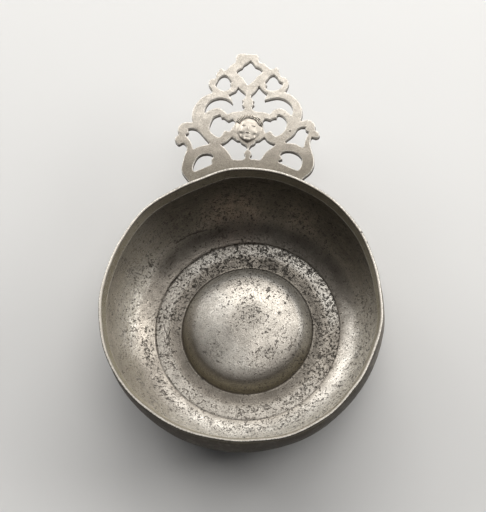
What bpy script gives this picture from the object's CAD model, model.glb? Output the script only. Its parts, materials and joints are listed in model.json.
"""An old pewter porringer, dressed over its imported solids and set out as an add-on.

Lengths are in metres in the part's own frame: Z up, the origin on the bowl's axis at its
foot, the ear towards +Y. Patterns in the finishes are laid out in millimetres.
"""

import json
import math

import bpy
from bpy.props import FloatProperty, FloatVectorProperty, IntProperty, PointerProperty
from mathutils import Matrix, Vector

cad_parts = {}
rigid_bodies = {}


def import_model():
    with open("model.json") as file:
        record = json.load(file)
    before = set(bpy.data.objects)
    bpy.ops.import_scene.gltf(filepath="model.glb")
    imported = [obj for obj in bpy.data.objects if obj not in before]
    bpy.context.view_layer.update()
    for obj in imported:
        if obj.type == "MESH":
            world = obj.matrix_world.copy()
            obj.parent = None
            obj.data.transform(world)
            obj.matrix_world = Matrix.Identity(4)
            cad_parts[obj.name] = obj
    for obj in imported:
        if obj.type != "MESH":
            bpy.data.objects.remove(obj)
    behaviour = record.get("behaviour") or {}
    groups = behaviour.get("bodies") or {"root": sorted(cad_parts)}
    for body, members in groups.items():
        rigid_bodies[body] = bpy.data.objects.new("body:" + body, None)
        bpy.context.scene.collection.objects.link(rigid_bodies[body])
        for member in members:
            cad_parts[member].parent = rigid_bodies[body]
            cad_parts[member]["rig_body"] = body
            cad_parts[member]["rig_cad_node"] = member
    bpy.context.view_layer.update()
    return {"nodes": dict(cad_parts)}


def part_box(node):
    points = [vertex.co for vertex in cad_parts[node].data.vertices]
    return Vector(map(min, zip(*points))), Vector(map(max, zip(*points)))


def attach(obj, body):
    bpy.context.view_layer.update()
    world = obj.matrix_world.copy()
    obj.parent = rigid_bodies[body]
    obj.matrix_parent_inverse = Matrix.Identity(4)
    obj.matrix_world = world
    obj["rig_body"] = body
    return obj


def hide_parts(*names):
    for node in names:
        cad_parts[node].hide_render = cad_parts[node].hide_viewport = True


bl_info = {
    "name": "Pewter Porringer",
    "version": (1, 0, 0),
    "blender": (4, 5, 0),
    "location": "3D View > Sidebar > Porringer",
    "description": "Builds a worn pewter porringer, its pierced ear and its stage",
    "category": "Object",
}

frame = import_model()
MM = 0.001
UP = Vector((0, 0, 1))
LIP_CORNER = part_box("bowl")[1]
EAR_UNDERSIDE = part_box("handle")[0].z
EAR_THICKNESS = 0.0034


# ---------------------------------------------------------------- sizes and colours

def length(name, description, default):
    """A length that the sidebar shows."""
    return FloatProperty(name=name, description=description, default=default, min=0.0,
                         subtype="DISTANCE", unit="LENGTH", precision=5)


def count(name, description, default):
    """A whole number that the sidebar shows."""
    return IntProperty(name=name, description=description, default=default, min=1)


def colour(name, description, default):
    """A colour that the sidebar shows."""
    return FloatVectorProperty(name=name, description=description, default=default, size=3,
                               min=0.0, max=1.0, subtype="COLOR")


class PorringerBowlSizes(bpy.types.PropertyGroup):
    """Sizes of the turned bowl."""
    height: length("Height", "Foot to lip", LIP_CORNER.z)
    belly_radius: length("Belly radius", "Outside at the widest place", LIP_CORNER.x)
    belly_height: length("Belly height", "Height of the widest place", 0.0310)
    rim_radius: length("Rim radius", "Outside of the lip", 0.0686)
    rim_spread: length("Rim spread", "How far a bend in the lip fades away round it", 0.020)
    wall: length("Wall", "Thickness of the sides and of the boss", 0.0017)
    floor: length("Floor", "Thickness of the gutter's floor", 0.0018)
    lip_thickness: length("Lip thickness", "Width of the lip's top", 0.0016)
    lip_round: length("Lip rounding", "Worn rounding of the lip's edges", 0.00055)
    neck_height: length("Neck height", "Height where the collar starts to flare", 0.04245)
    wall_curve: length("Wall curve", "Outside curve above the widest place", 0.0393)
    booge_curve: length("Booge curve", "Outside curve below the widest place", 0.03186)
    gutter_step: length("Gutter step", "Step from the side down to the gutter", 0.0005)
    step_run: length("Step run", "Width of that step", 0.0003)
    boss_rise: length("Boss rise", "Boss above the gutter", 0.0095)
    crown_curve: length("Crown curve", "Curve of the boss's flat crown", 0.1000)
    crown_reach: length("Crown reach", "End of the crown from the axis", 0.0267)
    shoulder_curve: length("Shoulder curve", "Curve of the boss's shoulder", 0.0080)
    boss_fillet: length("Boss fillet", "Hollow round the boss's foot", 0.0014)
    unevenness: length("Unevenness", "Depth of the waves left by hammer and use", 0.00022)
    wave_width: length("Wave width", "Width of those waves", 0.014)
    turns: count("Turns", "Steps of the turning round the axis", 384)


class PorringerEarSizes(bpy.types.PropertyGroup):
    """Sizes of the cast ear, its mask and what holds it."""
    grain: length("Grain", "Mesh size of the worn casting", 0.0003)
    wear: count("Wear", "Rounds of smoothing on the ear's edges", 5)
    unevenness: length("Unevenness", "Depth of the waves in the cast faces", 0.00012)
    wave_width: length("Wave width", "Width of those waves", 0.006)
    top: length("Top", "Height of the ear's face", EAR_UNDERSIDE + EAR_THICKNESS)
    seat_grain: length("Seat grain", "Mesh size of the pieces under the ear", 0.00028)
    bracket_wear: count("Bracket wear", "Rounds of smoothing on the bracket", 5)
    joint_wear: count("Joint wear", "Rounds of smoothing on the joint metal", 3)
    mask_place: length("Mask place", "Middle of the head from the bowl's axis", 0.0913)
    mask_side: length("Mask side", "Middle of the head to the right", 0.0003)
    mask_half: length("Mask half", "Half length of the head from crown to chin", 0.0074)
    mask_depth: length("Mask depth", "Depth of the mask below the ear's face", 0.0005)
    mask_grain: length("Mask grain", "Mesh size of the mask", 0.00011)
    head_wear: count("Head wear", "Rounds of smoothing that join the head's forms", 150)
    mask_wear: count("Mask wear", "Rounds of smoothing on the finished mask", 3)


class PorringerColours(bpy.types.PropertyGroup):
    """Colours of the metal and of the stage."""
    rubbed: colour("Rubbed pewter", "Bright metal on rubbed places", (0.48, 0.435, 0.375))
    plain: colour("Plain pewter", "Ordinary old surface", (0.24, 0.215, 0.182))
    bright: colour("Bright pewter", "Metal polished by use", (0.66, 0.615, 0.55))
    edge: colour("Worn edge", "Whitish metal where wear is greatest", (0.80, 0.765, 0.70))
    tarnish: colour("Tarnish", "Dull oxide in sheltered places", (0.052, 0.043, 0.033))
    warm: colour("Warm film", "Reddish brown film below the ear", (0.36, 0.285, 0.235))
    olive: colour("Olive film", "Greenish brown film on the collar", (0.30, 0.265, 0.18))
    pit: colour("Pit", "Dirt in the corrosion pits", (0.030, 0.024, 0.018))
    floor: colour("Floor", "Plain pale floor", (0.67, 0.665, 0.655))
    lamp: colour("Lamp", "Soft lights", (1.0, 0.99, 0.97))
    surround: colour("Surround", "Faint light from all round", (0.07, 0.07, 0.072))


class PorringerStageSizes(bpy.types.PropertyGroup):
    """Light and camera."""
    floor_reach: length("Floor", "Half width of the floor", 4.0)
    light_reach: length("Light distance", "Distance of the soft lights from the bowl", 1.25)
    side_width: length("Side light width", "Width of the low lights at the sides", 0.75)
    back_width: length("Back light width", "Width of the low light behind the ear", 1.1)
    high_width: length("High light width", "Width of the high light behind the ear", 1.9)
    light_height: length("Light height", "Height of the soft lights", 0.5)
    top_width: length("Top light width", "Width of the soft light overhead", 0.65)
    camera_place: FloatVectorProperty(
        name="Camera place", description="Where the camera stands", precision=6,
        default=(0.093843, -0.337994, 1.090807), subtype="TRANSLATION", unit="LENGTH")
    camera_turn: FloatVectorProperty(
        name="Camera turn", description="How the camera is turned about X, Y and Z",
        default=(math.radians(19.23404), math.radians(4.34232), math.radians(2.25612)),
        subtype="EULER", unit="ROTATION")
    lens: FloatProperty(name="Lens", description="Focal length in millimetres",
                        default=161.09, min=1.0)


# ---------------------------------------------------------------- bench work

# Points nearer to each other than this are joined.
CAD_MERGE = MM / 200
TURNED_MERGE = MM / 500
# Edges that turn by more than this stay crisp.
BOWL_CREASE = math.radians(32)
MASK_CREASE = math.radians(60)
# The colour attribute that marks hollows and edges.
RELIEF = "relief"


def put_down():
    """Leaves nothing selected."""
    if bpy.context.object and bpy.context.object.mode != "OBJECT":
        bpy.ops.object.mode_set(mode="OBJECT")
    bpy.ops.object.select_all(action="DESELECT")


def take(piece):
    """Makes the piece the only one in hand."""
    put_down()
    piece.select_set(True)
    bpy.context.view_layer.objects.active = piece


def open_up(piece):
    """Opens the piece for editing with all of it selected."""
    take(piece)
    bpy.ops.object.mode_set(mode="EDIT")
    bpy.ops.mesh.select_all(action="SELECT")


def pick(piece, wanted):
    """Opens the piece for editing with the points that are wanted selected."""
    take(piece)
    bpy.ops.object.mode_set(mode="EDIT")
    bpy.ops.mesh.select_all(action="DESELECT")
    bpy.ops.object.mode_set(mode="OBJECT")
    for vertex in piece.data.vertices:
        vertex.select = wanted(vertex.co)
    bpy.ops.object.mode_set(mode="EDIT")


def settle(piece, name):
    """Names the piece and moves its place into its mesh."""
    take(piece)
    bpy.ops.object.transform_apply(location=True, rotation=True, scale=True)
    piece.name = name
    piece.data.name = name
    return piece


def apply_modifier(piece, kind, **settings):
    """Adds a modifier with its settings and applies it."""
    take(piece)
    modifier = piece.modifiers.new(kind.title(), kind)
    for name, value in settings.items():
        setattr(modifier, name, value)
    bpy.ops.object.modifier_apply(modifier=modifier.name)


def ripple(piece, depth, width):
    """Gentle waves in a finished surface."""
    cloud = bpy.data.textures.new(piece.name + "_waves", "CLOUDS")
    cloud.noise_scale = width
    cloud.noise_depth = 1
    apply_modifier(piece, "DISPLACE", texture=cloud, texture_coords="LOCAL", mid_level=0.5,
                   strength=depth, direction="NORMAL")
    bpy.data.textures.remove(cloud)


def push(piece, near, move, reach, spread):
    """Moves what lies within reach of a place, and less so what lies within the spread."""
    pick(piece, lambda place: (place - near).length < reach)
    bpy.ops.transform.translate(value=move, use_proportional_edit=True,
                                proportional_edit_falloff="SMOOTH", proportional_size=spread)
    bpy.ops.object.mode_set(mode="OBJECT")


def recast(piece, grain, wear, ceiling=None):
    """Casts the piece anew in a fine even mesh, presses flat what is above a ceiling, and
    wears its edges round by so many rounds of smoothing."""
    apply_modifier(piece, "REMESH", mode="VOXEL", voxel_size=grain)
    if ceiling is not None:
        pick(piece, lambda place: place.z > ceiling)
        bpy.ops.transform.resize(value=(1, 1, 0), center_override=(0, 0, ceiling))
        bpy.ops.object.mode_set(mode="OBJECT")
    apply_modifier(piece, "SMOOTH", factor=0.5, iterations=wear)


def worn_copy(node, name, grain, wear, ceiling=None):
    """A worn copy of a solid, which rides on nothing yet."""
    take(frame["nodes"][node])
    bpy.ops.object.duplicate()
    piece = bpy.context.object
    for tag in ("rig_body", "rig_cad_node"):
        del piece[tag]
    piece.parent = None
    open_up(piece)
    bpy.ops.mesh.remove_doubles(threshold=CAD_MERGE)
    bpy.ops.object.mode_set(mode="OBJECT")
    recast(piece, grain, wear, ceiling)
    bpy.ops.object.shade_smooth()
    return settle(piece, name)


def mark_relief(piece):
    """Paints the points of a piece, dark in its hollows and pale on what stands out."""
    take(piece)
    bpy.ops.geometry.color_attribute_add(name=RELIEF, domain="POINT", data_type="FLOAT_COLOR",
                                         color=(1, 1, 1, 1))
    bpy.ops.object.mode_set(mode="VERTEX_PAINT")
    bpy.ops.paint.vertex_color_dirt(blur_strength=0.8, blur_iterations=2,
                                    clean_angle=math.radians(110),
                                    dirt_angle=math.radians(60), normalize=False)
    bpy.ops.object.mode_set(mode="OBJECT")


def finish_piece(piece, material, slot, *nodes):
    """Gives a piece its finish, lets it ride on the body and stand for its solids."""
    piece.data.materials.clear()
    piece.data.materials.append(material)
    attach(piece, "root")
    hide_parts(*nodes)


# ---------------------------------------------------------------- shader arithmetic

# Keeps a division by the distance from the axis safe on the axis itself.
NEAR_AXIS = 0.01
# Where the Mix node has its two colours and its mixed colour.
MIX_BELOW, MIX_ABOVE, MIX_COLOUR = 6, 7, 2


class Wire:
    """A node's output that sums and products can be written with."""

    def __init__(self, finish, socket):
        self.finish = finish
        self.socket = socket

    def other(self, name):
        """Another output of the same node."""
        return Wire(self.finish, self.socket.node.outputs[name])

    def reckon(self, operation, first, second):
        return self.finish.node("Math", {"operation": operation}, {0: first, 1: second})

    def __add__(self, value):
        return self.reckon("ADD", self, value)

    def __sub__(self, value):
        return self.reckon("SUBTRACT", self, value)

    def __rsub__(self, value):
        return self.reckon("SUBTRACT", value, self)

    def __mul__(self, value):
        return self.reckon("MULTIPLY", self, value)

    def __truediv__(self, value):
        return self.reckon("DIVIDE", self, value)

    def __pow__(self, value):
        return self.reckon("POWER", self, value)

    __radd__ = __add__
    __rmul__ = __mul__


class Finish:
    """A material that is being laid down. Its places and sizes are in millimetres."""

    def __init__(self, name):
        self.material = bpy.data.materials.new(name)
        self.material.use_nodes = True
        self.tree = self.material.node_tree
        self.tree.nodes.clear()
        position = self.node("TexCoord", output="Object")
        self.place = self.vector("SCALE", {0: position, "Scale": 1 / MM})
        self.x, self.y, self.z = self.split(self.place)
        self.nx, self.ny, self.nz = self.split(position.other("Normal"))
        self.radius = (self.x * self.x + self.y * self.y) ** 0.5

    def node(self, kind, settings=None, inputs=None, output=0):
        """A node of the given type, its settings first, then its sockets' values or links."""
        made = self.tree.nodes.new("ShaderNode" + kind)
        for name, value in (settings or {}).items():
            setattr(made, name, value)
        for name, value in (inputs or {}).items():
            if isinstance(value, Wire):
                self.tree.links.new(value.socket, made.inputs[name])
            else:
                made.inputs[name].default_value = value
        return Wire(self, made.outputs[output])

    def vector(self, operation, inputs, output=0):
        """A sum or product of vectors."""
        return self.node("VectorMath", {"operation": operation}, inputs, output)

    def split(self, vector):
        """A vector's three parts."""
        x = self.node("SeparateXYZ", inputs={0: vector})
        return x, x.other("Y"), x.other("Z")

    def clamp(self, value):
        """The value, held between 0 and 1."""
        return self.node("Clamp", inputs={0: value})

    def between(self, value, low, high):
        """0 below low, 1 above high, and a smooth way between; falls if low is above high."""
        if low > high:
            return 1 - self.between(value, high, low)
        return self.node("MapRange", {"interpolation_type": "SMOOTHSTEP"},
                         {"Value": value, "From Min": low, "From Max": high})

    def band(self, value, low, high, soft):
        """1 from low to high, fading over soft on both sides."""
        rise = self.between(value, low - soft, low + soft)
        return rise * self.between(value, high + soft, high - soft)

    def outward(self, x, y):
        """How far a level direction points away from the axis, -1 to 1."""
        return (self.x * x + self.y * y) / (self.radius + NEAR_AXIS)

    def side(self, degrees, narrow, wide):
        """1 within the narrow angle of one side of the bowl, 0 past the wide angle. 0 degrees
        is the right, 90 the ear's side, 180 the left and 270 the front."""
        turn = math.radians(degrees)
        lean = self.outward(math.cos(turn), math.sin(turn))
        return self.between(lean, math.cos(math.radians(wide)), math.cos(math.radians(narrow)))

    def noise(self, size, detail, harsh, place=None):
        """Noise about so many millimetres wide."""
        return self.node("TexNoise", {}, {"Vector": place or self.place, "Scale": 1 / size,
                                          "Detail": detail, "Roughness": harsh})

    def cloud(self, size, detail=3.0, harsh=0.55, place=None, low=0.35, high=0.65):
        """Blotches about so many millimetres wide, 0 to 1."""
        return self.between(self.noise(size, detail, harsh, place), low, high)

    def specks(self, size, level, soft=0.03):
        """Ragged specks, where noise about so many millimetres wide is above a level."""
        return self.clamp((self.noise(size, 3.0, 0.65) - level) / soft)

    def shaken(self, size, amount):
        """The place, shaken by noise so that patterns on it look natural."""
        noise = self.node("TexNoise", {}, {"Vector": self.place, "Scale": 1 / size,
                                           "Detail": 2.0}, "Color")
        centred = self.vector("SUBTRACT", {0: noise, 1: (0.5, 0.5, 0.5)})
        shake = self.vector("SCALE", {0: centred, "Scale": amount})
        return self.vector("ADD", {0: self.place, 1: shake})

    def pits(self, place, spacing, reach, share, edge):
        """Round pits: cells so many millimetres apart, of which a share holds a pit of up to
        the reach from its middle."""
        cell = self.node("TexVoronoi", {"feature": "F1"},
                         {"Vector": place, "Scale": 1 / spacing, "Randomness": 1.0}, "Distance")
        chance = self.node("SeparateColor", inputs={0: cell.other("Color")})
        room = self.clamp((chance - (1 - share)) / share)
        return self.clamp((room * reach - cell * spacing) / edge)

    def patch(self, centre, reach, soft):
        """A round soft patch about a place."""
        off = self.vector("DISTANCE", {0: self.place, 1: centre}, "Value")
        return self.between(off, reach + soft, reach - soft)

    def patches(self, spots):
        """Some patches added up, each by its share."""
        return sum(share * self.patch(*spot) for share, *spot in spots)

    def streak(self, place, start, end, width, soft):
        """A scratch from start to end."""
        way = Vector(end) - Vector(start)
        gone = self.vector("SUBTRACT", {0: place, 1: start})
        along = self.vector("DOT_PRODUCT", {0: gone, 1: way}, "Value")
        share = self.clamp(along / way.length_squared)
        foot = self.vector("SCALE", {0: way, "Scale": share})
        off = self.vector("DISTANCE", {0: gone, 1: foot}, "Value")
        return self.between(off, width + soft, width)

    def streaks(self, place, lines):
        """Some scratches together, 0 to 1."""
        return self.clamp(sum(self.streak(place, *line) for line in lines))

    def standing_out(self):
        """What mark_relief painted: low in the piece's hollows, high on what stands out."""
        return self.node("Attribute", {"attribute_name": RELIEF}, {}, "Fac")

    def coat(self, ground, *layers):
        """A colour with others laid over it in turn, each by its share."""
        base = (*ground, 1.0)
        for share, shade in layers:
            base = self.node("Mix", {"data_type": "RGBA", "clamp_factor": True},
                             {0: share, MIX_BELOW: base, MIX_ABOVE: (*shade, 1.0)}, MIX_COLOUR)
        return base

    def lay(self, base, rough, metal, relief):
        """Joins the colour, the roughness, the metal share and the relief in millimetres."""
        bump = self.node("Bump", inputs={"Strength": 1.0, "Distance": MM, "Height": relief})
        shader = self.node("BsdfPrincipled", inputs={
            "Base Color": base, "Roughness": self.clamp(rough), "Metallic": self.clamp(metal),
            "Normal": bump})
        output = self.tree.nodes.new("ShaderNodeOutputMaterial")
        self.tree.links.new(shader.socket, output.inputs["Surface"])
        return self.material


# ---------------------------------------------------------------- finishes

# Soft round patches: share, middle, reach and softness in millimetres.
WARM_SPOTS = ((1.0, (-9.0, 56.5, 11.0), 15.0, 9.0), (0.5, (25.0, 55.0, 14.0), 10.0, 8.0))
SOILED_SPOTS = (
    (1.0, (1.5, 6.0, 11.0), 6.0, 5.0), (1.0, (-14.5, -10.5, 9.8), 5.5, 5.0),
    (0.7, (12.0, -13.0, 9.8), 4.0, 4.0), (1.0, (10.0, 35.5, 1.8), 4.0, 4.0),
    (1.0, (-33.8, -24.5, 1.8), 1.6, 1.2), (1.0, (40.6, -15.0, 1.8), 1.4, 1.0),
)
LIP_NICKS = ((1.0, (57.4, 36.4, 47.9), 0.5, 0.3), (1.0, (60.4, 31.0, 47.9), 0.4, 0.3))
CASTING_PITS = ((1.0, (20.8, 89.9, 45.0), 0.45, 0.25),)

# Scratches: start, end, half width and softness in millimetres.
WALL_FOLD = (
    ((-37.3, 43.6, 8.7), (-30.4, 48.2, 8.4), 0.15, 0.5),
    ((-30.4, 48.2, 8.4), (-22.0, 51.3, 7.6), 0.1, 0.5),
    ((-50.8, 33.0, 11.2), (-48.8, 30.0, 9.2), 0.2, 0.7),
)
GUTTER_SCRATCHES = (
    ((-13.7, 33.0, 1.8), (-10.8, 37.2, 1.8), 0.05, 0.3),
    ((-10.8, 37.2, 1.8), (-7.9, 39.5, 1.8), 0.05, 0.3),
    ((-42.2, 1.6, 1.8), (-40.0, -4.0, 1.8), 0.1, 0.35),
    ((-39.0, -0.5, 1.8), (-39.6, -5.0, 1.8), 0.1, 0.35),
)


class BowlFinish(Finish):
    """The bowl's finish: its noises and zones, and how far each kind of wear and dirt covers
    it. Zones go by the distance from the axis, the height and the side."""

    def __init__(self, name):
        super().__init__(name)
        self.mottle = self.cloud(4.5, detail=4.0, harsh=0.6)
        self.fine = self.cloud(0.8, low=0.38, high=0.62)
        self.grain = self.cloud(0.5, low=0.4, high=0.66)
        self.broad = self.cloud(19.0, detail=2.5)
        around = self.node("CombineXYZ", {}, {0: self.x * 0.1, 1: self.y * 0.1,
                                              2: self.radius * 0.8 + self.z})
        self.turning = self.cloud(1.3, place=around)

        self.radial = self.outward(self.nx, self.ny)
        self.outside = (self.between(self.radial, 0.05, 0.25)
                        * self.between(self.radius, 43.0, 46.0))
        self.inside = 1 - self.outside
        self.wall = self.between(self.radius, 45.5, 46.5)
        self.side_wall = self.wall * self.inside * self.between(self.z, 5.0, 10.0)
        self.booge = self.band(self.radius, 48.0, 54.0, 2.0) * self.inside
        self.gutter = self.band(self.radius, 33.5, 46.0, 0.5) * self.between(self.z, 4.0, 2.6)
        self.boss = self.between(self.radius, 33.0, 32.0)
        self.crown = self.between(self.radius, 28.0, 24.0) * self.boss
        self.neck = self.band(self.z, 42.2, 42.7, 0.15) * self.inside
        self.collar = self.band(self.z, 42.8, 47.2, 0.3) * self.inside
        self.lip = self.between(self.z, 47.3, 47.75)

        self.ear_side = self.side(82, 40, 82)
        self.front = self.side(270, 45, 105)
        self.left_crown = (self.crown * self.side(200, 55, 90)
                           * self.between(self.radius, 8.0, 14.0))
        self.shoulder = (self.band(self.radius, 26.5, 32.5, 1.5) * self.boss
                         * (1 - self.side(262, 60, 110)))
        self.boss_foot = self.band(self.radius, 29.0, 33.6, 1.6) * self.boss
        self.gutter_foot = (self.gutter * self.between(self.radius, 39.5, 35.5)
                            * (1 - 0.6 * self.side(120, 50, 95)))
        self.soiled = self.patches(SOILED_SPOTS)

    def polish(self):
        """Where hands and spoons keep the metal bright."""
        wall_sides = (self.side(300, 45, 85) * self.between(self.z, 22.0, 14.0)
                      + 0.9 * self.side(165, 20, 40) + 0.2 * self.side(225, 40, 80)
                      + 0.4 * self.side(345, 20, 50))
        gutter_sides = (self.side(90, 55, 85) + 0.8 * self.side(265, 45, 75)
                        + 0.8 * self.side(175, 35, 60))
        return self.clamp(
            self.crown * (0.55 + 0.45 * self.fine) + self.shoulder * 0.9
            + self.booge * (0.75 + 0.4 * self.mottle) * self.side(300, 55, 95)
            + 0.9 * self.left_crown + self.side_wall * wall_sides
            + self.gutter * self.between(self.radius, 38.0, 41.0) * gutter_sides)

    def gleam(self):
        """The brightest places of all: the shoulder's and the crown's lit sides, a spot on the
        left wall, the booge's front right and the gutter's far edge."""
        return self.clamp(
            1.6 * self.shoulder * self.side(50, 70, 120) + 0.8 * self.left_crown
            + 1.2 * self.band(self.radius, 56.0, 64.0, 3.0) * self.side(168, 12, 28) * self.inside
            + self.band(self.radius, 50.0, 66.0, 3.0) * self.side(300, 45, 80) * self.inside
            + self.gutter * self.between(self.radius, 39.0, 42.0) * self.side(70, 50, 75))

    def warm_film(self):
        """Reddish brown film on the wall below the ear."""
        return self.clamp(self.patches(WARM_SPOTS)) * (0.35 + 0.65 * self.mottle)

    def tarnish(self, warm):
        """Dull oxide: on the wall below the ear but for its warm film, at the feet of that
        wall and of the boss, on the boss's front, in soiled spots, outside and underneath."""
        far_wall = (self.wall * self.inside * self.ear_side * self.between(self.z, 3.0, 14.0)
                    * (0.45 + 0.35 * self.mottle + 0.18 * self.turning))
        wall_foot = (self.side(82, 55, 75) * self.band(self.z, 3.4, 7.6, 2.0)
                     * (0.55 + 0.45 * self.broad))
        boss_front = (self.between(self.radius, 19.0, 27.0) * self.boss
                      * self.side(255, 45, 105))
        spots = self.soiled * (0.1 + 0.6 * self.mottle + 0.3 * self.fine)
        outer = self.outside * (0.1 + 0.4 * self.mottle + 0.15 * self.turning
                                + 0.65 * self.front)
        underside = self.between(self.nz, -0.35, -0.65) * self.between(self.z, 9.0, 4.0)
        return self.clamp(
            self.clamp(far_wall - 0.95 * warm) + 0.8 * wall_foot + 0.5 * self.gutter_foot
            + 0.85 * spots + 0.75 * boss_front + outer + 0.8 * underside
            + 0.35 * self.collar * self.side(240, 35, 65)
            + 0.25 * self.side_wall * (1 - self.turning) * (1 - self.mottle))

    def olive_film(self):
        """Greenish brown film: on the collar, inside and out, round the boss's foot, and thin
        on the wall but for a thicker spot at its right."""
        return self.clamp(
            0.8 * self.collar + self.boss_foot * (0.45 + 0.3 * self.front)
            + self.side_wall * (0.15 + 0.4 * self.turning)
            + 0.5 * self.side_wall * self.side(8, 15, 32) * self.band(self.z, 31.0, 40.0, 3.0)
            + 0.5 * self.outside * self.band(self.z, 41.0, 47.0, 1.0))

    def hollows(self, warm):
        """Corrosion pits, specks and stains, most of them in the gutter, and the lip's nicks."""
        crowd = self.clamp(
            0.42 + 0.45 * self.gutter * self.side(60, 60, 140) + 0.25 * self.gutter
            - 0.03 * self.boss + 0.3 * self.broad
            + self.booge * (0.6 * self.side(255, 45, 80) - 0.1) + 0.2 * self.side_wall
            + 0.35 * self.soiled + 0.4 * warm - 0.4 * self.gutter_foot - 0.4 * self.collar
            - 0.35 * self.outside - 0.8 * self.lip)
        specks = self.specks(1.1, 0.700 - 0.143 * crowd)
        stains = self.specks(3.0, 0.690 - 0.130 * crowd, soft=0.05)
        dots = self.pits(self.shaken(1.3, 0.45), spacing=1.25, reach=0.38, edge=0.12,
                         share=self.clamp(crowd * (0.35 + 0.6 * self.mottle)))
        return self.clamp(specks * 0.8 + dots * 0.9 + stains * (0.35 + 0.5 * self.fine)
                          + self.patches(LIP_NICKS))

    def cuts(self):
        """Dirt in the creases at both edges of the gutter, the wall's fold and scratches."""
        outer_crease = (self.band(self.radius, 45.6, 46.6, 0.35)
                        * self.between(self.z, 3.6, 2.8) * (0.3 + 0.6 * self.mottle))
        creases = self.clamp(outer_crease + 0.8 * self.band(self.radius, 32.3, 33.2, 0.3)
                             * self.between(self.z, 4.0, 3.0))
        shaken = self.shaken(1.3, 1.0)
        return self.clamp(creases * 0.75 + self.streaks(shaken, WALL_FOLD) * 0.75
                          + self.streaks(shaken, GUTTER_SCRATCHES) * 0.6)


def bowl_pewter(paint):
    """Turned pewter: corroded in the gutter, tarnished where hands don't rub it, filmed with
    olive brown at the collar and at the boss's foot, bright on the crown and the lip."""
    f = BowlFinish("bowl_pewter")
    rub = f.clamp(0.12 + 0.34 * f.broad + 0.42 * f.mottle + 0.16 * f.fine + 0.3 * f.crown)
    warm = f.warm_film()
    tarnished = f.tarnish(warm)
    film = f.olive_film()
    ridge = f.lip * f.between(f.nz, 0.75, 0.95) * f.between(f.radial, -0.3, -0.05)
    outer_ridge = ridge * f.between(f.radial, -0.05, 0.15)
    ridge_wear = f.clamp(ridge * (0.15 + 0.6 * f.fine + 0.25 * f.grain) + 0.9 * f.neck)
    hollow = f.hollows(warm)
    cut = f.cuts()
    base = f.coat(
        paint.plain,
        (rub, paint.rubbed),
        (f.side_wall * f.turning * 0.5, paint.rubbed),
        (f.polish() * (0.7 + 0.3 * f.mottle), paint.bright),
        (f.gleam() * (0.32 + 0.5 * f.mottle), paint.edge),
        (0.85 * warm, paint.warm),
        (tarnished * 0.92, paint.tarnish),
        (film * (0.5 + 0.5 * f.fine) * (1 - 0.5 * f.ear_side), paint.olive),
        (0.5 * f.lip * (1 - ridge), paint.tarnish),
        (ridge_wear, paint.bright),
        (outer_ridge * (0.2 + 0.8 * f.fine), paint.edge),
        (f.grain * 0.34 * (1 - 0.6 * f.lip), paint.tarnish),
        (hollow * 0.9, paint.pit),
        (cut, paint.pit))

    rings = f.node("TexNoise", {"noise_dimensions": "1D"},
                   {"W": f.radius + f.z * 0.7, "Scale": 2.5, "Detail": 3.0})
    relief = (f.mottle * 0.03 + f.fine * 0.015 + rings * 0.03 + f.turning * 0.015
              + f.neck * 0.10 - f.grain * 0.012 - hollow * 0.18 - cut * 0.12)
    dull = f.clamp(tarnished + 0.6 * film)
    rough = 0.38 - 0.10 * rub + 0.16 * dull + 0.3 * hollow + 0.06 * f.wall
    near_wall = f.wall * f.inside * f.side(285, 60, 110)
    metal = (0.80 + 0.14 * rub - 0.35 * dull - 0.7 * hollow - 0.35 * near_wall
             - 0.25 * f.boss_foot - 0.42 * f.shoulder - 0.4 * f.left_crown
             + 0.45 * f.outside * f.front)
    return f.lay(base, rough, metal, relief)


def ear_pewter(paint, name="handle_pewter"):
    """Cast pewter: bright towards the tip, darker at the root, dark down the sides of its
    piercings and underneath, with worn bright edges where its relief is marked."""
    f = Finish(name)
    mottle = f.cloud(3.2, detail=4.0, harsh=0.6)
    fine = f.cloud(0.7, low=0.38, high=0.62)
    grain = f.cloud(0.4, detail=2.0, low=0.3, high=0.7)
    broad = f.cloud(14.0, detail=2.0)
    tip = f.between(f.y, 72.0, 100.0)
    polished = f.between(f.y, 82.0, 104.0)
    root = f.between(f.y, 84.0, 68.0)
    under = f.between(f.z, 44.3, 43.4)
    edge = f.between(f.standing_out(), 0.145, 0.25) * f.between(f.z, 43.8, 44.6)
    rub = f.clamp(0.2 + 0.5 * tip + 0.14 * broad + 0.24 * mottle + 0.12 * fine)
    hollow = f.clamp(f.specks(0.9, 0.64) * 0.6 + f.patches(CASTING_PITS))
    base = f.coat(
        paint.plain,
        (rub, paint.rubbed),
        (polished * (0.4 + 0.4 * mottle), paint.bright),
        (root * (0.36 + 0.22 * mottle), paint.tarnish),
        (0.15 * root, paint.olive),
        (edge * (0.6 + 0.4 * fine), paint.edge),
        (under * (0.6 + 0.3 * mottle), paint.tarnish),
        (grain * 0.4, paint.tarnish),
        (hollow * 0.8, paint.pit))
    relief = mottle * 0.02 + fine * 0.010 + grain * 0.006 - hollow * 0.15
    rough = 0.42 - 0.10 * rub + 0.22 * under + 0.2 * hollow - 0.08 * edge
    metal = 0.80 + 0.10 * rub - 0.35 * under - 0.5 * hollow - 0.4 * edge
    return f.lay(base, rough, metal, relief)


def mask_pewter(paint):
    """The ear's cast pewter on the mask: dirt in the hollows between the swellings, and
    bright metal on what stands out."""
    f = Finish("mask_pewter")
    stands_out = f.standing_out()
    mottle = f.cloud(1.6, detail=4.0, harsh=0.6)
    fine = f.cloud(0.5, low=0.38, high=0.62)
    high = f.between(stands_out, 0.16, 0.28)
    low = f.between(stands_out, 0.12, 0.04)
    base = f.coat(
        paint.plain,
        (f.clamp(0.45 + 0.35 * mottle + 0.2 * fine), paint.rubbed),
        (0.2 + high * 0.6, paint.bright),
        (low * 0.4, paint.tarnish))
    relief = mottle * 0.015 + fine * 0.008
    return f.lay(base, 0.40 + 0.2 * low - 0.06 * high, 0.85 - 0.3 * low, relief)


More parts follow.
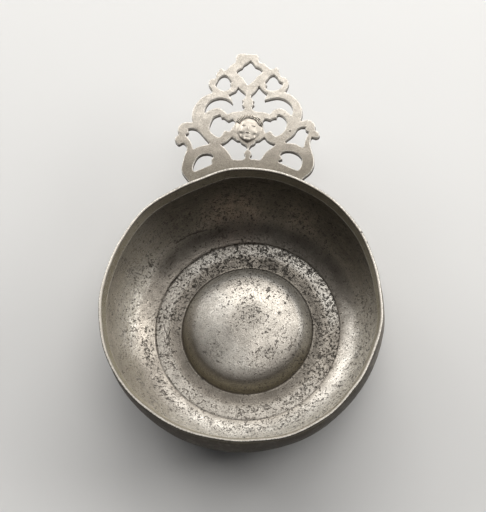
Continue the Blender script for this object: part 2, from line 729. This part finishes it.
def plain_floor(paint):
    """A plain pale floor."""
    material = bpy.data.materials.new("pale_floor")
    material.use_nodes = True
    shader = material.node_tree.nodes["Principled BSDF"]
    shader.inputs["Base Color"].default_value = (*paint.floor, 1.0)
    shader.inputs["Roughness"].default_value = 0.9
    shader.inputs["Specular IOR Level"].default_value = 0.2
    return material


# ---------------------------------------------------------------- bowl

def bend(centre, start, end, steps):
    """Points of an arc about a centre, from start to end, without the start."""
    first = math.atan2(start[1] - centre[1], start[0] - centre[0])
    last = math.atan2(end[1] - centre[1], end[0] - centre[0])
    reach = math.dist(centre, start)
    turns = [first + (last - first) * step / steps for step in range(1, steps + 1)]
    return [(centre[0] + reach * math.cos(turn), centre[1] + reach * math.sin(turn))
            for turn in turns]


def straight(start, end, steps):
    """Points of a straight line from start to end, without the start."""
    return [(start[0] + (end[0] - start[0]) * step / steps,
             start[1] + (end[1] - start[1]) * step / steps) for step in range(1, steps + 1)]


def bowl_section(s):
    """The bowl's section as radius and height: from the axis under the boss, round the foot,
    up the outside, over the lip and down the inside to the top of the boss."""
    # centres and ends of the curves of the sides
    booge = (s.belly_radius - s.booge_curve, s.belly_height)
    wall = (s.belly_radius - s.wall_curve, s.belly_height)
    rise = s.neck_height - s.belly_height
    foot = (booge[0] + math.sqrt(s.booge_curve ** 2 - s.belly_height ** 2), 0.0)
    neck = (wall[0] + math.sqrt(s.wall_curve ** 2 - rise ** 2), s.neck_height)
    inner_neck = (wall[0] + math.sqrt((s.wall_curve - s.wall) ** 2 - rise ** 2), s.neck_height)
    step_height = s.floor + s.gutter_step
    drop = s.belly_height - step_height
    step = (booge[0] + math.sqrt((s.booge_curve - s.wall) ** 2 - drop ** 2), step_height)

    # those of the boss
    boss_top = s.floor + s.boss_rise
    crown = (0.0, boss_top - s.crown_curve)
    cosine = math.sqrt(1 - (s.crown_reach / s.crown_curve) ** 2)
    crown_end = (s.crown_reach, crown[1] + s.crown_curve * cosine)
    shoulder = (s.crown_reach * (1 - s.shoulder_curve / s.crown_curve),
                crown[1] + (s.crown_curve - s.shoulder_curve) * cosine)
    inner_crown = (s.crown_reach * (1 - s.wall / s.crown_curve),
                   crown[1] + (s.crown_curve - s.wall) * cosine)
    hollow = (shoulder[0] + math.sqrt((s.shoulder_curve - s.wall) ** 2 - shoulder[1] ** 2), 0.0)
    fillet_height = s.floor + s.boss_fillet
    lift = fillet_height - shoulder[1]
    fillet = (shoulder[0] + math.sqrt((s.shoulder_curve + s.boss_fillet) ** 2 - lift ** 2),
              fillet_height)
    touch = s.shoulder_curve / (s.shoulder_curve + s.boss_fillet)
    boss_foot = (shoulder[0] + (fillet[0] - shoulder[0]) * touch,
                 shoulder[1] + (fillet[1] - shoulder[1]) * touch)

    # and those of the lip
    lip_out = (s.rim_radius - s.lip_round, s.height - s.lip_round)
    lip_in = (s.rim_radius - s.lip_thickness + s.lip_round, s.height - s.lip_round)

    # each run ends with how many points it gets
    points = [(0.0, boss_top - s.wall)]
    points += bend(crown, points[0], inner_crown, 14)
    points += bend(shoulder, points[-1], hollow, 8)
    points += straight(hollow, foot, 7)
    points += bend(booge, foot, (s.belly_radius, s.belly_height), 26)
    points += bend(wall, points[-1], neck, 8)
    points += straight(neck, (s.rim_radius, lip_out[1]), 5)
    points += bend(lip_out, points[-1], (lip_out[0], s.height), 4)
    points += straight(points[-1], (lip_in[0], s.height), 1)
    points += bend(lip_in, points[-1], (lip_in[0] - s.lip_round, lip_in[1]), 4)
    points += straight(points[-1], inner_neck, 6)
    points += bend(wall, inner_neck, (s.belly_radius - s.wall, s.belly_height), 10)
    points += bend(booge, points[-1], step, 34)
    points += straight(step, (step[0] - s.step_run, s.floor), 2)
    points += straight(points[-1], (fillet[0], s.floor), 12)
    points += bend(fillet, points[-1], boss_foot, 4)
    points += bend(shoulder, boss_foot, crown_end, 12)
    points += bend(crown, crown_end, (0.0, boss_top), 20)
    return points


# Bends that wear left in the lip: degrees round it, outward move in millimetres and degrees
# of reach.
RIM_PUSHES = (
    (86, 1.1, 9), (57, 0.5, 4), (13, -0.8, 7), (350, 0.6, 4), (324, 1.4, 4), (300, 2.3, 7),
    (278, 0.7, 2), (212, 0.9, 8), (188, 0.2, 2), (158, -0.7, 6), (116, -1.0, 4), (241, 0.3, 5),
)


class PorringerBowl(bpy.types.Operator):
    """Turn the bowl and knock it slightly out of round"""
    bl_idname = "porringer.bowl"
    bl_label = "Bowl"

    def execute(self, context):
        s = context.scene.porringer_bowl
        points = bowl_section(s)
        put_down()
        bpy.ops.mesh.primitive_plane_add(size=MM, location=(0, 0, points[0][1]))
        bowl = context.object
        open_up(bowl)
        bpy.ops.mesh.merge(type="CENTER")
        for (radius, height), (next_radius, next_height) in zip(points, points[1:]):
            step = (next_radius - radius, 0, next_height - height)
            bpy.ops.mesh.extrude_vertices_move(TRANSFORM_OT_translate={"value": step})
        bpy.ops.mesh.select_all(action="SELECT")
        bpy.ops.mesh.spin(steps=s.turns, angle=math.tau, center=(0, 0, 0), axis=UP)
        bpy.ops.mesh.select_all(action="SELECT")
        bpy.ops.mesh.remove_doubles(threshold=TURNED_MERGE)
        bpy.ops.mesh.normals_make_consistent(inside=False)
        bpy.ops.object.mode_set(mode="OBJECT")
        settle(bowl, "turned_bowl")
        for degrees, move, reach in RIM_PUSHES:
            turn = math.radians(degrees)
            out = Vector((math.cos(turn), math.sin(turn), 0))
            near = out * s.rim_radius + UP * s.height
            push(bowl, near, out * move * MM, s.rim_radius * math.radians(reach), s.rim_spread)
        ripple(bowl, s.unevenness, s.wave_width)
        bpy.ops.object.shade_smooth_by_angle(angle=BOWL_CREASE)
        finish_piece(bowl, bowl_pewter(context.scene.porringer_colours), "bowl_pewter", "bowl")
        return {"FINISHED"}


# ---------------------------------------------------------------- ear

class PorringerEar(bpy.types.Operator):
    """Wear the pierced ear round at its edges"""
    bl_idname = "porringer.ear"
    bl_label = "Ear"

    def execute(self, context):
        s = context.scene.porringer_ear
        ear = worn_copy("handle", "pierced_ear", s.grain, s.wear, s.top)
        ripple(ear, s.unevenness, s.wave_width)
        mark_relief(ear)
        finish_piece(ear, ear_pewter(context.scene.porringer_colours), "handle_pewter", "handle")
        return {"FINISHED"}


class PorringerSeat(bpy.types.Operator):
    """Finish the bracket and the joint metal under the ear"""
    bl_idname = "porringer.seat"
    bl_label = "Bracket and joint"

    def execute(self, context):
        s = context.scene.porringer_ear
        dull = ear_pewter(context.scene.porringer_colours, "joint_pewter")
        bracket = worn_copy("bracket", "ear_bracket", s.seat_grain, s.bracket_wear)
        finish_piece(bracket, dull, "handle_pewter", "bracket")
        joint = worn_copy("joint_metal", "joint_fillet", s.seat_grain, s.joint_wear)
        finish_piece(joint, dull, "joint_pewter", "joint_metal")
        return {"FINISHED"}


# ---------------------------------------------------------------- mask

# Degrees that the whole head is turned.
MASK_LEAN = -6

# Swellings, in half lengths of the head: the middle's x, y and z above the ear's face, half
# the width, length and height, and the turn in degrees. What has an x is made left and right.
HEAD_FORMS = (
    (0.0, 0.08, -0.12, 1.0, 1.04, 0.28, 0), (0.0, -0.11, -0.05, 0.66, 0.86, 0.29, 0),
    (0.0, 0.32, 0.08, 0.50, 0.30, 0.13, 0), (0.33, -0.25, 0.09, 0.26, 0.24, 0.13, 12),
    (0.0, -0.60, 0.11, 0.28, 0.24, 0.13, 0), (0.0, -0.82, 0.11, 0.24, 0.16, 0.13, 0),
    (0.24, -0.58, 0.05, 0.30, 0.30, 0.11, 25), (0.0, -0.20, 0.11, 0.12, 0.34, 0.10, 0),
)
FACE_DETAILS = (
    (0.27, 0.150, 0.155, 0.20, 0.045, 0.075, -7), (0.26, 0.00, 0.105, 0.14, 0.090, 0.100, 0),
    (0.26, 0.065, 0.145, 0.16, 0.030, 0.070, -5), (0.26, -0.065, 0.125, 0.14, 0.026, 0.060, 5),
    (0.0, -0.11, 0.17, 0.065, 0.27, 0.12, 0), (0.0, -0.36, 0.215, 0.092, 0.085, 0.11, 0),
    (0.10, -0.385, 0.175, 0.060, 0.055, 0.075, 20), (0.0, -0.555, 0.19, 0.195, 0.036, 0.065, 0),
    (0.0, -0.635, 0.185, 0.160, 0.044, 0.070, 0),
)

# Rows of locks of hair: how many, the first one's degrees round the head to the right and
# the step, the reach from the middle, half length, half width, and the turn from outwards.
LOCKS = (
    (11, 5, -7, 0.84, 0.20, 0.044, 4), (3, 14, 21, 0.74, 0.24, 0.046, 84),
    (3, 24, 19, 0.85, 0.24, 0.046, 84), (2, 38, 20, 0.95, 0.20, 0.044, 84),
)
LOCK_LIFT = 0.07
LOCK_HEIGHT = 0.13


def lay_locks():
    """The swellings of all the locks of hair."""
    locks = []
    for locks_in_row, first, step, reach, long, wide, turn in LOCKS:
        for number in range(locks_in_row):
            degrees = first + step * number
            place = math.radians(degrees)
            locks.append((reach * math.sin(place), reach * math.cos(place), LOCK_LIFT,
                          long, wide, LOCK_HEIGHT, 90 - turn - degrees))
    return locks


def swell(swellings, s, hands=(1, -1)):
    """Rounded swellings on the ear's face, joined into one piece."""
    put_down()
    lean = Matrix.Rotation(math.radians(MASK_LEAN), 4, "Z")
    middle = Vector((s.mask_side, s.mask_place, s.top))
    made = []
    for x, y, z, wide, long, high, turn in swellings:
        for hand in hands if x else hands[:1]:
            bpy.ops.mesh.primitive_uv_sphere_add(
                segments=24, ring_count=12, radius=s.mask_half,
                location=middle + lean @ Vector((x * hand, y, z)) * s.mask_half,
                rotation=(0, 0, math.radians(turn * hand + MASK_LEAN)),
                scale=(wide, long, high))
            made.append(bpy.context.object)
    for swelling in made:
        swelling.select_set(True)
    bpy.ops.object.join()
    return settle(bpy.context.object, "worn_mask")


class PorringerMask(bpy.types.Operator):
    """Model the small worn head on the ear out of rounded swellings"""
    bl_idname = "porringer.mask"
    bl_label = "Mask"

    def execute(self, context):
        s = context.scene.porringer_ear
        head = swell(HEAD_FORMS, s)
        recast(head, s.mask_grain, s.head_wear)
        face = swell(FACE_DETAILS, s)
        hair = swell(lay_locks(), s, hands=(1,))
        take(head)
        face.select_set(True)
        hair.select_set(True)
        bpy.ops.object.join()
        mask = settle(context.object, "worn_mask")
        recast(mask, s.mask_grain, s.mask_wear)
        open_up(mask)
        bpy.ops.mesh.bisect(plane_co=(0, 0, s.top - s.mask_depth), plane_no=UP, use_fill=True,
                            clear_inner=True)
        bpy.ops.object.mode_set(mode="OBJECT")
        bpy.ops.object.shade_smooth_by_angle(angle=MASK_CREASE)
        mark_relief(mask)
        finish_piece(mask, mask_pewter(context.scene.porringer_colours), "handle_pewter",
                     "handle")
        return {"FINISHED"}


# ---------------------------------------------------------------- stage

# Soft lights: name, degrees round from +X and above the floor, the sizes that give the width
# and the height, and the glow.
LIGHTS = (
    ("right_light", 18, 28, "side_width", "light_height", 6.2),
    ("back_light", 80, 28, "back_width", "light_height", 4.2),
    ("left_light", 142, 28, "side_width", "light_height", 5.8),
    ("high_light", 82, 53, "high_width", "light_height", 2.9),
    ("top_light", 20, 80, "top_width", "top_width", 1.9),
)


def soft_light(name, round_about, above, reach, width, height, glow, shade):
    """A flat soft light of an even glow that looks at the bowl and isn't itself seen."""
    put_down()
    turn, rise = math.radians(round_about), math.radians(above)
    direction = Vector((math.cos(turn) * math.cos(rise), math.sin(turn) * math.cos(rise),
                        math.sin(rise)))
    bpy.ops.object.light_add(type="AREA", location=direction * reach)
    lamp = bpy.context.object
    lamp.name = name
    lamp.rotation_euler = direction.to_track_quat("Z", "Y").to_euler()
    lamp.data.shape = "RECTANGLE"
    lamp.data.size = width
    lamp.data.size_y = height
    lamp.data.energy = glow * math.pi * width * height
    lamp.data.color = shade
    lamp.visible_camera = False


class PorringerStage(bpy.types.Operator):
    """Set the pale floor, the soft lights and the camera"""
    bl_idname = "porringer.stage"
    bl_label = "Stage"

    def execute(self, context):
        s = context.scene.porringer_stage
        paint = context.scene.porringer_colours
        put_down()
        bpy.ops.mesh.primitive_plane_add(size=2 * s.floor_reach)
        floor = context.object
        floor.name = "pale_floor"
        floor.data.materials.append(plain_floor(paint))
        for name, round_about, above, width, height, glow in LIGHTS:
            soft_light(name, round_about, above, s.light_reach, getattr(s, width),
                       getattr(s, height), glow, paint.lamp)
        world = bpy.data.worlds.new("studio")
        world.use_nodes = True
        background = world.node_tree.nodes["Background"]
        background.inputs["Color"].default_value = (*paint.surround, 1.0)
        context.scene.world = world
        put_down()
        bpy.ops.object.camera_add(location=s.camera_place, rotation=s.camera_turn)
        camera = context.object
        camera.name = "photo_view"
        camera.data.lens = s.lens
        camera.data.clip_start = 10 * MM
        context.scene.camera = camera
        context.scene.view_settings.view_transform = "Standard"
        return {"FINISHED"}


# ---------------------------------------------------------------- add-on

class PorringerPanel(bpy.types.Panel):
    """Everything that builds the porringer"""
    bl_idname = "VIEW3D_PT_porringer"
    bl_label = "Porringer"
    bl_space_type = "VIEW_3D"
    bl_region_type = "UI"
    bl_category = "Porringer"

    def draw(self, context):
        for operator in STEPS:
            self.layout.operator(operator.bl_idname)
        for group, kind in GROUPS.items():
            box = self.layout.box()
            for name in kind.__annotations__:
                box.prop(getattr(context.scene, group), name)


GROUPS = {
    "porringer_bowl": PorringerBowlSizes,
    "porringer_ear": PorringerEarSizes,
    "porringer_colours": PorringerColours,
    "porringer_stage": PorringerStageSizes,
}
STEPS = (PorringerStage, PorringerBowl, PorringerEar, PorringerMask, PorringerSeat)
CLASSES = (*GROUPS.values(), *STEPS, PorringerPanel)


def register():
    for made in CLASSES:
        bpy.utils.register_class(made)
    for group, kind in GROUPS.items():
        setattr(bpy.types.Scene, group, PointerProperty(type=kind))


def unregister():
    for group in GROUPS:
        delattr(bpy.types.Scene, group)
    for made in reversed(CLASSES):
        bpy.utils.unregister_class(made)


def main():
    register()
    bpy.ops.porringer.stage()
    bpy.ops.porringer.bowl()
    bpy.ops.porringer.ear()
    bpy.ops.porringer.mask()
    bpy.ops.porringer.seat()


if __name__ == "__main__":
    main()
